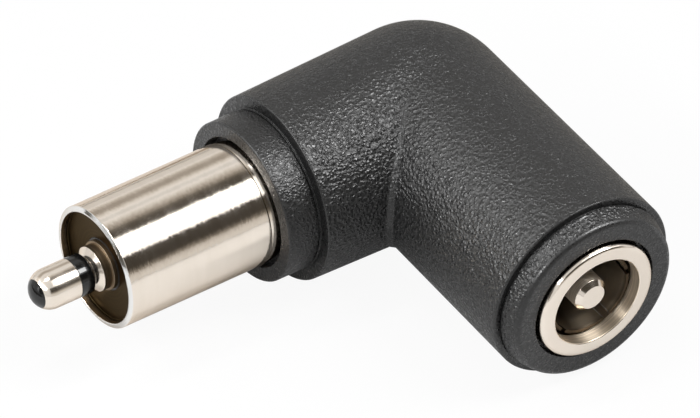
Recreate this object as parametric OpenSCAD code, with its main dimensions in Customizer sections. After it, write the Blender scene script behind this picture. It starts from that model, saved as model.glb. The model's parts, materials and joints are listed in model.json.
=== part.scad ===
// Right-angle DC barrel adapter: a moulded elbow with a socket for a 5.5 x 2.1 mm
// barrel plug on one arm, and a 7.4 mm barrel plug with a coaxial centre pin on the other.
// It lies on its side: both axes are level, the plug points to -X and the socket to -Y.
// The origin is under the middle of the whole part, on the surface that it lies on.

/* [Elbow moulding] */
// Diameter of the elbow where the two axes cross
elbow_d = 11.65; // [11:0.05:16]
// Width of the strip that softens the crease inside the bend, at its middle
crease_w = 0.45; // [0.2:0.05:1.2]
// Break on the moulding's outer edges
edge_break = 0.12; // [0.05:0.01:0.3]
// Room for the leads, from the crossing of the axes to the back of the plug barrel
plug_room = 8.9; // [8:0.1:14]
// Room for the leads, from the crossing of the axes to the back of the socket
jack_room = 6; // [5.8:0.1:12]

/* [Collar round the plug] */
// Length of the collar in front of the plug arm's end face
collar_len = 2.15; // [1.2:0.05:4]
// Wall of the collar outside its mouth
collar_wall = 0.88; // [0.4:0.02:1.5]
// Width of the end face outside the collar
collar_step = 0.76; // [0.4:0.02:2]
// Thin lip left at the collar's root
collar_lip = 0.1; // [0.05:0.01:0.3]
// Width of the fine groove in front of that lip
collar_groove_w = 0.1; // [0.05:0.01:0.3]
// Depth of the fine groove
collar_groove_depth = 0.12; // [0.05:0.01:0.3]
// Open gap between the barrel and the collar's mouth
collar_gap = 0.25; // [0.15:0.01:0.8]
// Depth of the collar's mouth
collar_mouth_depth = 0.8; // [0.4:0.05:1.5]

/* [Nose round the socket] */
// Length of the nose in front of the socket arm's end face
nose_len = 1.3; // [0.8:0.05:3]
// How far the nose slopes in from its root to its face
nose_slope = 0.3; // [0.1:0.02:1]
// Width of the flat face outside the metal ring's gap
nose_face_w = 1.25; // [0.6:0.05:2.5]
// Width of the shut-line groove at the nose's root
nose_groove_w = 0.14; // [0.1:0.02:0.5]
// Depth of that groove below the nose
nose_groove_depth = 0.1; // [0.05:0.01:0.4]
// Width of the end face outside the nose
nose_step = 0.37; // [0.1:0.01:1]
// Open gap between the metal ring and the nose
nose_gap = 0.18; // [0.06:0.01:0.3]
// Depth of that gap
nose_gap_depth = 0.7; // [0.3:0.05:1.5]

/* [Plug barrel] */
// Outside diameter of the barrel
barrel_d = 7.4; // [5.5:0.1:9]
// Working length, from the shoulder line to the rim
barrel_len = 9.5; // [7:0.05:14]
// Gap along the axis from the collar's face to the shoulder line
barrel_setout = 0.45; // [0.1:0.01:0.8]
// Length of the slightly tapered ring behind the shoulder line
barrel_ring_len = 0.8; // [0.5:0.05:1.1]
// How far that ring is inside the barrel's surface at its back
barrel_ring_in = 0.1; // [0.06:0.01:0.2]
// How far the barrel's tail is inside its surface, behind that ring
barrel_step_in = 0.22; // [0.1:0.01:0.4]
// Width and depth of the notch that draws the shoulder line
barrel_line = 0.06; // [0.03:0.01:0.1]
// Wall of the rim round the shallow mouth
rim_wall = 0.34; // [0.3:0.02:0.8]
// Width of the rim's flat front
rim_flat = 0.1; // [0.05:0.01:0.25]
// Length of the bevel outside the rim's flat front
rim_bevel_len = 0.12; // [0.06:0.02:1]
// Depth of the mouth at its wall
mouth_depth = 0.5; // [0.2:0.05:2]
// Extra depth of the dished floor at the pin
dish_depth = 0.12; // [0.05:0.01:0.4]
// Thickness of the floor that closes the barrel's front
floor_t = 1.3; // [0.6:0.05:3]
// Wall of the barrel behind the floor
barrel_wall = 0.8; // [0.5:0.05:1.2]
// Length of the barrel held by the moulding
barrel_grip = 0.95; // [0.5:0.05:3]
// Height of the flange that locks the barrel in the moulding
flange_h = 0.65; // [0.3:0.05:1]
// Thickness of the locking flange
flange_t = 0.9; // [0.5:0.05:2]

/* [Centre pin] */
// Diameter of the bullet tip and of the black ring behind it
pin_d = 2.4; // [1.6:0.05:3]
// How far the tip stands out of the barrel's rim
pin_reach = 4.25; // [2.5:0.05:8]
// Length of the black ring
pin_ring_len = 0.85; // [0.4:0.05:2]
// Length of the straight part of the bullet tip
pin_straight = 1.48; // [0.5:0.02:4]
// Diameter of the black bead in the nose
bead_d = 1.74; // [0.8:0.02:2]
// Diameter of the bead's spigot
bead_spigot_d = 0.9; // [0.5:0.05:1]
// Length of the bead's spigot
bead_spigot_len = 0.6; // [0.3:0.05:1]
// Diameter of the narrow neck behind the black ring
neck_d = 1.84; // [1.6:0.02:2.4]
// Length of the narrow neck
neck_len = 0.22; // [0.1:0.02:1]
// Length of the flare from the neck to the boss
flare_len = 0.32; // [0.1:0.02:1]
// Diameter of the boss at the pin's foot
boss_d = 2.7; // [2.4:0.05:3.4]
// Width of the small flange round the boss, on each side
boss_flange_w = 0.15; // [0.05:0.01:0.4]
// Thickness of that flange
boss_flange_t = 0.27; // [0.1:0.01:0.6]
// Open gap between that flange and the hole in the barrel's floor
pin_hole_gap = 0.1; // [0.05:0.01:0.3]
// Diameter of the pin sleeve's tail, behind the flange
sleeve_tail_d = 2.4; // [1.9:0.05:2.6]
// Wall of the insulating tube round the tip's stem
stem_tube_wall = 0.2; // [0.12:0.01:0.3]
// Diameter of the tip's stem
stem_d = 0.8; // [0.5:0.02:1]
// Length of the stem behind the barrel
stem_tail_len = 1.7; // [1:0.1:3]

/* [Socket] */
// Bore of the socket's lip
jack_bore_d = 5.74; // [5:0.02:7]
// Depth from the metal ring's face to the socket's floor
jack_depth = 9.35; // [8:0.05:14]
// Width of the metal ring's front, from bore to outside
ring_w = 0.95; // [0.8:0.01:2]
// Rounding of the ring's outer edge
ring_round = 0.3; // [0.15:0.01:0.6]
// How far the ring stands out of the moulded nose
ring_proud = 0.35; // [0.2:0.05:1]
// Break on the edge of the ring's bore
ring_bore_break = 0.06; // [0.03:0.01:0.15]
// Length of the plain lip in front of the contact
lip_len = 0.9; // [0.6:0.05:2]
// Distance of the contact's tips behind the ring's face
tip_setback = 0.74; // [0.5:0.02:2]
// Thickness of the contact's wall
contact_wall = 0.2; // [0.1:0.01:0.35]
// How far the tips of the contact's leaves lean in
leaf_pinch = 0.42; // [0.2:0.02:0.6]
// Length of the leaning part of a leaf
leaf_len = 3.2; // [2:0.1:6]
// Number of leaves
leaf_count = 5; // [3:1:8]
// Width of the slit between two leaves
slit_w = 0.5; // [0.2:0.02:0.8]
// Length of a slit
slit_len = 4; // [2:0.1:6]
// Turn of the first slit about the socket's axis
slit_turn = -61; // [-180:1:180]
// Diameter of the socket's centre pin
jack_pin_d = 2.1; // [1.6:0.05:2.6]
// Distance of the pin's end behind the ring's face
jack_pin_setback = 0.45; // [0:0.05:2]
// Chamfer on the pin's end
jack_pin_chamfer = 0.28; // [0.1:0.02:0.5]
// Diameter of the pin's tail
jack_tail_d = 1; // [0.6:0.05:1.4]
// Length of the pin's tail behind the insulator
jack_tail_len = 1; // [0.6:0.1:2]
// Thickness of the insulator that closes the socket's back
jack_insulator_t = 2.15; // [1.2:0.05:4]
// Thickness of the pin's foot, which is let into the insulator
jack_foot_t = 0.6; // [0.3:0.05:1]
// Width of that foot outside the pin
jack_foot_w = 0.25; // [0.1:0.05:0.8]
// Depth of the keying groove round the socket's shell
key_depth = 0.3; // [0.1:0.05:0.4]
// Width of that groove
key_w = 0.7; // [0.4:0.05:2]
// Distance of that groove behind the ring's face
key_setback = 4.4; // [3:0.1:7]

/* [Solder lugs and leads] */
// Thickness of a lug's sheet
lug_t = 0.4; // [0.2:0.05:0.6]
// Length of the spigot that carries a lug
spigot_len = 0.6; // [0.5:0.05:1.2]
// How far a lug's spigot is smaller than its shoulder
spigot_step = 0.3; // [0.2:0.05:0.6]
// Border of a lug outside its tab
lug_border = 0.2; // [0.1:0.05:0.5]
// Width of a lug's tab
tab_w = 1.8; // [1:0.1:3]
// Length of a lug's tab
tab_len = 1.9; // [1.4:0.1:3]
// Diameter of a lead's copper core
core_d = 0.7; // [0.4:0.05:0.9]
// Thickness of a lead's jacket
jacket_t = 0.35; // [0.2:0.05:0.5]
// Radius of the leads' bend, at their middle
lead_bend = 2.8; // [2:0.1:3.6]
// Bare core left between a joint and the lead's jacket
bare_gap = 0.1; // [0.05:0.05:0.5]
// Thickness of the solder round a joint
solder_t = 0.25; // [0.15:0.05:0.4]
// Length of a solder joint
solder_len = 1.1; // [0.7:0.1:1.4]

/* [Fits] */
// Gap of each seated fit, on each side
fit_gap = 0.01; // [0.005:0.005:0.03]

/* [Hidden] */
$fn = 96;
seam = 0.01;
cut_over = 1;

barrel_r = barrel_d / 2;
tail_r = barrel_r - barrel_step_in;
flange_r = barrel_r + flange_h;
plug_spigot_r = barrel_r - spigot_step;
barrel_bore_r = barrel_r - barrel_wall;
mouth_r = barrel_r - rim_wall;
flange_u = plug_room + spigot_len;
grip_u = flange_u + flange_t;
collar_mouth_u = grip_u + barrel_grip;
collar_face_u = collar_mouth_u + collar_mouth_depth;
plug_arm_len = collar_face_u - collar_len;
shoulder_u = collar_face_u + barrel_setout;
barrel_ring_u = shoulder_u - barrel_ring_len;
rim_u = shoulder_u + barrel_len;
mouth_u = rim_u - mouth_depth;
dish_u = mouth_u - dish_depth;
floor_back_u = dish_u - floor_t;
collar_mouth_r = barrel_r + collar_gap;
collar_r = collar_mouth_r + collar_wall;
plug_end_r = collar_r + collar_step;

pin_r = pin_d / 2;
boss_r = boss_d / 2;
boss_flange_r = boss_r + boss_flange_w;
pin_hole_r = boss_flange_r + pin_hole_gap;
nose_u = rim_u + pin_reach - pin_r;
bullet_u = nose_u - pin_straight;
ring_back_u = bullet_u - pin_ring_len;
neck_u = ring_back_u - neck_len;
flare_u = neck_u - flare_len;
bead_u = nose_u + sqrt(pin_r * pin_r - bead_d * bead_d / 4);
stem_r = stem_d / 2;
stem_tube_r = stem_r + fit_gap + stem_tube_wall;
stem_end_u = plug_room - stem_tail_len;

jack_bore_r = jack_bore_d / 2;
jack_shell_r = jack_bore_r + ring_w;
jack_spigot_r = jack_shell_r - spigot_step;
contact_bore_r = jack_bore_r + fit_gap;
contact_r = contact_bore_r + contact_wall;
shell_bore_r = contact_r + fit_gap;
jack_shoulder_u = jack_room + spigot_len;
jack_floor_u = jack_room + jack_insulator_t;
ring_face_u = jack_floor_u + jack_depth;
nose_face_u = ring_face_u - ring_proud;
jack_arm_len = nose_face_u - nose_len;
tip_u = ring_face_u - tip_setback;
leaf_u = tip_u - leaf_len;
key_u = ring_face_u - key_setback;
jack_pin_r = jack_pin_d / 2;
jack_pin_u = ring_face_u - jack_pin_setback;
jack_foot_r = jack_pin_r + jack_foot_w;
jack_foot_u = jack_floor_u - jack_foot_t;
jack_tail_r = jack_tail_d / 2;
jack_tail_u = jack_room - jack_tail_len;
nose_gap_r = jack_shell_r + nose_gap;
nose_face_r = nose_gap_r + nose_face_w;
nose_r = nose_face_r + nose_slope;
jack_end_r = nose_r + nose_step;

elbow_r = elbow_d / 2;
plug_corner_r = elbow_r + (plug_end_r - elbow_r) * elbow_r / plug_arm_len;
jack_corner_r = elbow_r + (jack_end_r - elbow_r) * elbow_r / jack_arm_len;
crease_reach = (plug_corner_r + jack_corner_r) / sqrt(2) + crease_w / 2;
crease_turns = 48;
plug_arm_r = max(elbow_r, plug_end_r);
jack_arm_r = max(elbow_r, jack_end_r);
crossing_height = max(plug_arm_r, jack_arm_r);
crossing = [(rim_u + pin_reach - jack_arm_r) / 2, (ring_face_u - plug_arm_r) / 2, crossing_height];

core_r = core_d / 2;
jacket_r = core_r + fit_gap + jacket_t;
tab_drop = max(plug_spigot_r, jack_spigot_r) + fit_gap;
lug_r = tab_drop + lug_t + lug_border;
solder_r = max(core_r, stem_r, jack_tail_r) + solder_t;
return_drop = tab_drop - core_r - solder_t;
return_jack_u = jack_room - lug_t;
return_plug_u = plug_room - lug_t;
live_solder_jack_u = jack_tail_u - solder_len / 2;
live_solder_plug_u = stem_end_u - solder_len / 2;
live_jacket_jack_u = live_solder_jack_u - bare_gap;
live_jacket_plug_u = live_solder_plug_u - bare_gap;
jack_tab_u = jack_shoulder_u - lug_t - tab_len;
plug_tab_u = flange_u - lug_t - tab_len;
return_jacket_jack_u = min(jack_tab_u, return_jack_u - solder_len) - bare_gap;
return_jacket_plug_u = min(plug_tab_u, return_plug_u - solder_len) - bare_gap;

black_moulding = [0.13, 0.13, 0.14];
black_plastic = [0.05, 0.05, 0.05];
nickel = [0.86, 0.81, 0.74];
copper = [0.76, 0.47, 0.26];
red_jacket = [0.65, 0.1, 0.09];
solder = [0.7, 0.71, 0.73];

// Frames whose +Z runs out along an arm, from the crossing of the axes.
// The underside of the part is at -X of the plug's frame and at -Y of the socket's.
module on_plug() {
    translate(crossing) rotate([0, -90, 0]) children();
}

module on_jack() {
    translate(crossing) rotate([90, 0, 0]) children();
}

// A turned shape from steps of [start, end, radius] along its axis, grown by a gap all round
module turned(steps, gap = 0) {
    for (step = steps)
        translate([0, 0, step[0] - gap]) cylinder(h = step[1] - step[0] + 2 * gap, r = step[2] + gap);
}

// A straight hole from one place on the axis to another
module drilled(start, end, radius) {
    translate([0, 0, start]) cylinder(h = end - start, r = radius);
}

// A quarter round in the plane of a turned profile, for the corner at [radius, end]
module quarter_round(radius, end, size) {
    translate([radius - size, end - size]) intersection() {
        circle(size);
        square(size);
    }
}

// A lead's path: straight from the socket, a quarter bend at the corner, straight to the plug
module lead_run(radius, jack_end, plug_end, drop) {
    translate(crossing - [0, 0, drop]) {
        translate([0, -lead_bend, 0]) rotate([90, 0, 0]) cylinder(h = jack_end - lead_bend, r = radius);
        translate([-lead_bend, -lead_bend, 0]) rotate_extrude(angle = 90)
            translate([lead_bend, 0]) circle(radius);
        translate([-lead_bend, 0, 0]) rotate([0, -90, 0]) cylinder(h = plug_end - lead_bend, r = radius);
    }
}

module live_lead(radius, jack_end = jack_tail_u, plug_end = stem_end_u) {
    lead_run(radius, jack_end, plug_end, 0);
}

module return_lead(radius, jack_end = return_jack_u, plug_end = return_plug_u) {
    lead_run(radius, jack_end, plug_end, return_drop);
}

// A washer with a straight tab, which points back to the corner on the washer's -X side
module solder_lug(back, spigot_r, gap = 0) {
    difference() {
        union() {
            translate([0, 0, back - gap]) cylinder(h = lug_t + 2 * gap, r = lug_r + gap);
            translate([-tab_drop - lug_t - gap, -tab_w / 2 - gap, back - tab_len - gap])
                cube([lug_t + 2 * gap, tab_w + 2 * gap, tab_len + lug_t + gap]);
        }
        if (gap == 0)
            drilled(back - lug_t, back + 2 * lug_t, spigot_r + fit_gap);
    }
}

// Outside of the plug barrel behind its shoulder line
plug_steps = [
    [plug_room, flange_u, plug_spigot_r],
    [flange_u, grip_u, flange_r],
    [grip_u, barrel_ring_u, tail_r],
];

// Outside of the socket's shell
jack_steps = [
    [jack_room, jack_shoulder_u, jack_spigot_r],
    [jack_shoulder_u, key_u - key_w, jack_shell_r],
    [key_u - key_w, key_u, jack_shell_r - key_depth],
    [key_u, ring_face_u - ring_round, jack_shell_r],
];

module plug_arm() {
    lip_u = plug_arm_len + collar_lip;
    on_plug() rotate_extrude() polygon([
        [0, 0],
        [elbow_r - seam, 0],
        [plug_end_r, plug_arm_len - edge_break],
        [plug_end_r - edge_break, plug_arm_len],
        [collar_r, plug_arm_len],
        [collar_r, lip_u],
        [collar_r - collar_groove_depth, lip_u],
        [collar_r - collar_groove_depth, lip_u + collar_groove_w],
        [collar_r, lip_u + collar_groove_w],
        [collar_r, collar_face_u - edge_break],
        [collar_r - edge_break, collar_face_u],
        [0, collar_face_u],
    ]);
}

module jack_arm() {
    root_u = jack_arm_len + nose_groove_w;
    on_jack() rotate_extrude() polygon([
        [0, 0],
        [elbow_r - seam, 0],
        [jack_end_r, jack_arm_len - edge_break],
        [jack_end_r - edge_break, jack_arm_len],
        [nose_r - nose_groove_depth, jack_arm_len],
        [nose_r - nose_groove_depth, root_u],
        [nose_r, root_u],
        [nose_face_r + edge_break / 2, nose_face_u - edge_break],
        [nose_face_r - edge_break / 2, nose_face_u],
        [0, nose_face_u],
    ]);
}

// The strip in the crease inside the bend. The arms meet on a half ellipse in the plane between
// them, and a half ellipse that reaches further in fills the crease, most at its middle.
module crease_strip() {
    half_ellipse = [
        for (turn = [0 : crease_turns])
            let (angle = 180 * turn / crease_turns - 90)
                [crease_reach * cos(angle), (elbow_r - seam) * sin(angle)]
    ];
    translate(crossing) rotate([90, 0, -135]) linear_extrude(2 * crease_w, center = true)
        polygon(half_ellipse);
}

// The elbow's own outline: two arms, a ball at the corner and a strip that softens the crease
module elbow_outline() {
    plug_arm();
    jack_arm();
    translate(crossing) sphere(elbow_r);
    crease_strip();
}

module elbow_body() {
    color(black_moulding) difference() {
        elbow_outline();
        on_plug() {
            turned(plug_steps, fit_gap);
            drilled(collar_mouth_u, collar_face_u + cut_over, collar_mouth_r);
            drilled(stem_end_u, plug_room, stem_r + fit_gap);
            solder_lug(flange_u - lug_t, plug_spigot_r, fit_gap);
        }
        on_jack() {
            turned(jack_steps, fit_gap);
            drilled(nose_face_u - nose_gap_depth, nose_face_u + cut_over, nose_gap_r);
            drilled(jack_tail_u, jack_room, jack_tail_r + fit_gap);
            rotate([0, 0, 90]) solder_lug(jack_shoulder_u - lug_t, jack_spigot_r, fit_gap);
        }
        live_lead(core_r + fit_gap);
        live_lead(jacket_r + fit_gap, live_jacket_jack_u, live_jacket_plug_u);
        return_lead(core_r + fit_gap);
        return_lead(jacket_r + fit_gap, return_jacket_jack_u, return_jacket_plug_u);
        solder_pockets();
    }
}

module plug_barrel() {
    color(nickel) on_plug() difference() {
        union() {
            turned(plug_steps);
            rotate_extrude() polygon([
                [0, barrel_ring_u],
                [barrel_r - barrel_ring_in, barrel_ring_u],
                [barrel_r - barrel_line / 2, shoulder_u - barrel_line],
                [barrel_r - barrel_line, shoulder_u],
                [barrel_r, shoulder_u],
                [barrel_r, rim_u - rim_bevel_len],
                [mouth_r + rim_flat, rim_u],
                [mouth_r, rim_u],
                [mouth_r, mouth_u],
                [pin_hole_r, dish_u],
                [0, dish_u],
            ]);
        }
        drilled(plug_room - cut_over, floor_back_u, barrel_bore_r);
        drilled(floor_back_u - cut_over, rim_u, pin_hole_r);
    }
}

module plug_insulator() {
    color(black_plastic) on_plug() difference() {
        turned([
            [plug_room, floor_back_u, barrel_bore_r - fit_gap],
            [floor_back_u, dish_u, pin_hole_r - fit_gap],
        ]);
        drilled(plug_room - cut_over, dish_u + cut_over, sleeve_tail_d / 2 + fit_gap);
    }
}

module pin_sleeve() {
    color(nickel) on_plug() difference() {
        union() {
            turned([
                [plug_room, dish_u, sleeve_tail_d / 2],
                [dish_u, dish_u + boss_flange_t, boss_flange_r],
                [dish_u + boss_flange_t, flare_u, boss_r],
                [neck_u, ring_back_u, neck_d / 2],
            ]);
            translate([0, 0, flare_u]) cylinder(h = flare_len, r1 = boss_r, r2 = neck_d / 2);
        }
        drilled(plug_room - cut_over, ring_back_u + cut_over, stem_tube_r + fit_gap);
    }
}

module pin_insulator() {
    color(black_plastic) on_plug() difference() {
        turned([
            [plug_room, ring_back_u, stem_tube_r],
            [ring_back_u, bullet_u, pin_r],
        ]);
        drilled(plug_room - cut_over, bullet_u + cut_over, stem_r + fit_gap);
    }
}

// Half a ball, flat side at the given place on the axis
module half_ball(start, radius) {
    rotate_extrude() translate([0, start]) intersection() {
        circle(radius);
        square(radius);
    }
}

module pin_tip() {
    color(nickel) on_plug() difference() {
        union() {
            turned([
                [stem_end_u, bullet_u, stem_r],
                [bullet_u, nose_u, pin_r],
            ]);
            half_ball(nose_u, pin_r);
        }
        drilled(bead_u, nose_u + 2 * pin_r, pin_r);
        drilled(bead_u - bead_spigot_len - fit_gap, bead_u + cut_over, bead_spigot_d / 2 + fit_gap);
    }
}

module tip_bead() {
    color(black_plastic) on_plug() {
        difference() {
            half_ball(nose_u, pin_r);
            drilled(nose_u - cut_over, bead_u, pin_r + cut_over);
        }
        drilled(bead_u - bead_spigot_len, bead_u + seam, bead_spigot_d / 2);
    }
}

module barrel_lug() {
    color(nickel) on_plug() solder_lug(flange_u - lug_t, plug_spigot_r);
}

module jack_shell() {
    color(nickel) on_jack() difference() {
        union() {
            turned(jack_steps);
            rotate_extrude() {
                translate([0, ring_face_u - ring_round]) square([jack_shell_r - ring_round, ring_round]);
                quarter_round(jack_shell_r, ring_face_u, ring_round);
            }
        }
        drilled(jack_room - cut_over, ring_face_u + cut_over, jack_bore_r);
        drilled(jack_room - cut_over, ring_face_u - lip_len, shell_bore_r);
        translate([0, 0, ring_face_u - ring_bore_break])
            cylinder(h = 2 * ring_bore_break, r1 = jack_bore_r, r2 = jack_bore_r + 2 * ring_bore_break);
    }
}

module jack_contact() {
    color(nickel) on_jack() difference() {
        rotate_extrude() polygon([
            [contact_bore_r, jack_floor_u],
            [contact_r, jack_floor_u],
            [contact_r, leaf_u],
            [contact_r - leaf_pinch, tip_u],
            [contact_bore_r - leaf_pinch, tip_u],
            [contact_bore_r, leaf_u],
        ]);
        for (leaf = [0 : leaf_count - 1])
            rotate([0, 0, slit_turn + leaf * 360 / leaf_count])
                translate([0, -slit_w / 2, tip_u - slit_len]) cube([2 * contact_r, slit_w, 2 * slit_len]);
    }
}

module jack_pin() {
    color(nickel) on_jack() {
        turned([
            [jack_tail_u, jack_foot_u, jack_tail_r],
            [jack_foot_u, jack_floor_u, jack_foot_r],
            [jack_floor_u, jack_pin_u - jack_pin_chamfer, jack_pin_r],
        ]);
        translate([0, 0, jack_pin_u - jack_pin_chamfer])
            cylinder(h = jack_pin_chamfer, r1 = jack_pin_r, r2 = jack_pin_r - jack_pin_chamfer);
    }
}

module jack_insulator() {
    color(black_plastic) on_jack() difference() {
        drilled(jack_room, jack_floor_u, shell_bore_r - fit_gap);
        drilled(jack_room - cut_over, jack_floor_u + cut_over, jack_tail_r + fit_gap);
        drilled(jack_foot_u, jack_floor_u + cut_over, jack_foot_r + fit_gap);
    }
}

module jack_lug() {
    color(nickel) on_jack() rotate([0, 0, 90]) solder_lug(jack_shoulder_u - lug_t, jack_spigot_r);
}

module live_core() {
    color(copper) live_lead(core_r);
}

module live_jacket() {
    color(red_jacket) difference() {
        live_lead(jacket_r, live_jacket_jack_u, live_jacket_plug_u);
        live_lead(core_r + fit_gap);
    }
}

module return_core() {
    color(copper) return_lead(core_r);
}

module return_jacket() {
    color(black_plastic) difference() {
        return_lead(jacket_r, return_jacket_jack_u, return_jacket_plug_u);
        return_lead(core_r + fit_gap);
    }
}

// Solder round a joint, from a place on the axis
module solder_sleeve(start, gap = 0) {
    translate([0, 0, start - gap]) cylinder(h = solder_len + 2 * gap, r = solder_r + gap);
}

// Solder on a lug's tab, round the end of the return lead
module plug_tab_solder(gap = 0) {
    on_plug() translate([-return_drop, 0, 0]) solder_sleeve(return_plug_u - solder_len, gap);
}

module jack_tab_solder(gap = 0) {
    on_jack() translate([0, -return_drop, 0]) solder_sleeve(return_jack_u - solder_len, gap);
}

module solder_pockets() {
    on_plug() solder_sleeve(live_solder_plug_u, fit_gap);
    on_jack() solder_sleeve(live_solder_jack_u, fit_gap);
    plug_tab_solder(fit_gap);
    jack_tab_solder(fit_gap);
}

module pin_tip_solder() {
    color(solder) difference() {
        on_plug() solder_sleeve(live_solder_plug_u);
        live_lead(core_r + fit_gap);
        on_plug() drilled(stem_end_u, plug_room, stem_r + fit_gap);
    }
}

module jack_pin_solder() {
    color(solder) difference() {
        on_jack() solder_sleeve(live_solder_jack_u);
        live_lead(core_r + fit_gap);
        on_jack() drilled(jack_tail_u, jack_room, jack_tail_r + fit_gap);
    }
}

module barrel_lug_solder() {
    color(solder) difference() {
        plug_tab_solder();
        return_lead(core_r + fit_gap);
        on_plug() solder_lug(flange_u - lug_t, plug_spigot_r, fit_gap);
    }
}

module jack_lug_solder() {
    color(solder) difference() {
        jack_tab_solder();
        return_lead(core_r + fit_gap);
        on_jack() rotate([0, 0, 90]) solder_lug(jack_shoulder_u - lug_t, jack_spigot_r, fit_gap);
    }
}

elbow_body();
plug_barrel();
plug_insulator();
pin_sleeve();
pin_insulator();
pin_tip();
tip_bead();
barrel_lug();
jack_shell();
jack_contact();
jack_pin();
jack_insulator();
jack_lug();
live_core();
live_jacket();
return_core();
return_jacket();
pin_tip_solder();
jack_pin_solder();
barrel_lug_solder();
jack_lug_solder();
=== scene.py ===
# %% [markdown]
# # A right-angle barrel adapter
# The part is a black moulded elbow with a socket on one arm and a turned nickel plug on the other.
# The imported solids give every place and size. This lesson dresses them: each piece that shows is worked
# out again as a fine surface, so that metal reflects without facets, and each gets its own finish.

# %% Load the frame
import json
import math

import bmesh
import bpy
import numpy as np
from mathutils import Matrix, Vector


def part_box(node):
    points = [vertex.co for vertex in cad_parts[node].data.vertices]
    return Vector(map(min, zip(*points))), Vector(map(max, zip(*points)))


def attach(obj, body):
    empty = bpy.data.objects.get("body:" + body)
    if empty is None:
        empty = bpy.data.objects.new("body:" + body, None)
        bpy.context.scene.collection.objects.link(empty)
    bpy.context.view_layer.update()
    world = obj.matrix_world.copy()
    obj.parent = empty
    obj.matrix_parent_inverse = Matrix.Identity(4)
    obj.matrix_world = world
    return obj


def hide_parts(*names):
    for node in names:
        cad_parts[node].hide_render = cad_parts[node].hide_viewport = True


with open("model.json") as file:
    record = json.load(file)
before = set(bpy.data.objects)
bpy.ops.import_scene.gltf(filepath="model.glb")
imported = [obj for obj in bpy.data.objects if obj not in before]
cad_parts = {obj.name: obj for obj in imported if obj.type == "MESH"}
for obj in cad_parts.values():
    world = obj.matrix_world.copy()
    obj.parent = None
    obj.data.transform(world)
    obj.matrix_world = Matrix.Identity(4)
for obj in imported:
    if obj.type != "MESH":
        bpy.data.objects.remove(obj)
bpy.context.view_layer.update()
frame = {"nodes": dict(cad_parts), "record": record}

MM = 0.001
UP = np.array([0.0, 0.0, 1.0])
print("nodes in the frame:", len(frame["nodes"]))

# %% [markdown]
# ## Where the arms lie
# Everything on this part is turned about one of two axes that cross in the elbow. The mounts of the
# record lie on those axes, so they give the crossing, and the boxes of the nodes give how far along an
# axis each piece reaches. Lengths below are in millimetres: `u` is the distance from the crossing along
# an arm.

# %% The two arms
mounts = {mount["name"]: mount for mount in frame["record"]["mounts"]}
plug_point = np.array(mounts["plug_barrel"]["pos_m"]) / MM
jack_point = np.array(mounts["jack_pin"]["pos_m"]) / MM
crossing = np.array([jack_point[0], plug_point[1], plug_point[2]])
PLUG = {"axis": np.array([-1.0, 0.0, 0.0]), "side": np.array([0.0, 1.0, 0.0])}
JACK = {"axis": np.array([0.0, -1.0, 0.0]), "side": np.array([1.0, 0.0, 0.0])}


def reach(name, arm):
    """Nearest and furthest `u` of a node: its box corners, less the crossing, along the arm's axis."""
    corners = (np.array(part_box(name)) / MM - crossing) @ arm["axis"]
    return corners.min(), corners.max()


def girth(name, arm):
    """Largest radius of a turned node: half its box, across the arm."""
    low, high = np.array(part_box(name)) / MM
    return float(abs((high - low) @ arm["side"]) / 2)


print("crossing of the axes:", crossing, "mm")

# %% [markdown]
# ## The camera
# The photograph was taken from far off, so its lines hardly converge: a long lens does the same. A camera
# can be aimed by eye. This one is built from its angles, its depth and the pixel on which the crossing of
# the axes falls, so it needs no aiming.

# %% Camera
FRAME_PX = (700, 418)
CROSSING_PX = (417.9, 123.0)
LENS, SENSOR = 900.0, 36.0
AZIMUTH, ELEVATION, ROLL = np.radians([-36.81, 42.97, -2.81])
DEPTH = 987.2
CLIP_END = 10.0


def view_axes(azimuth, elevation, roll):
    """Right, down and forward of a camera.

    Forward looks back along the view direction. Right is level and then rolls."""
    flat = math.cos(elevation)
    back = np.array([math.sin(azimuth) * flat, -math.cos(azimuth) * flat, math.sin(elevation)])
    level = np.cross(-back, UP)
    level /= np.linalg.norm(level)
    right = math.cos(roll) * level + math.sin(roll) * np.cross(-back, level)
    return right, np.cross(-back, right), -back


def put(name, data):
    """A new object in the scene."""
    obj = bpy.data.objects.new(name, data)
    bpy.context.scene.collection.objects.link(obj)
    return obj


def stand(obj, axes, place):
    """Sets an object's three axes and its place in mm, which are the columns of its matrix."""
    columns = np.column_stack([*axes, place * MM])
    obj.matrix_world = Matrix(columns.tolist() + [[0, 0, 0, 1]])


right, down, forward = view_axes(AZIMUTH, ELEVATION, ROLL)
focal_px = LENS / SENSOR * FRAME_PX[0]
offset_px = np.array(CROSSING_PX) - np.array(FRAME_PX) / 2
eye = crossing - DEPTH * (forward + (right * offset_px[0] + down * offset_px[1]) / focal_px)
camera = put("camera", bpy.data.cameras.new("camera"))
camera.data.lens, camera.data.sensor_width, camera.data.clip_end = LENS, SENSOR, CLIP_END
stand(camera, (right, -down, -forward), eye)
bpy.context.scene.camera = camera
print("camera at", np.round(eye), "mm")

# %% [markdown]
# ## Studio light
# Three soft lamps light the part: a long strip on the left, a box overhead, and a key box on the right
# and nearer the viewer. A sun or a point lamp would cast hard shadows, so each is an area lamp. The strip
# is narrow, because a narrow light picks out the grain, and long, so that its shine runs along the edges.

# %% Lamps


def softbox(name, direction, distance, size, radiance, along=(1.0, 0.0, 0.0)):
    """A rectangular lamp that faces the crossing from a distance, its first side along a given way.

    Its power is radiance times pi times area, so a lamp of another size shines as brightly."""
    lamp = bpy.data.lights.new(name, "AREA")
    lamp.shape = "RECTANGLE"
    lamp.size, lamp.size_y = np.array(size) * MM
    lamp.energy = radiance * math.pi * lamp.size * lamp.size_y
    away = np.array(direction) / np.linalg.norm(direction)
    level = np.array(along) - away * (away @ np.array(along))
    level /= np.linalg.norm(level)
    obj = put(name, lamp)
    stand(obj, (level, np.cross(away, level), away), crossing + away * distance)
    obj.visible_camera = False


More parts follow.
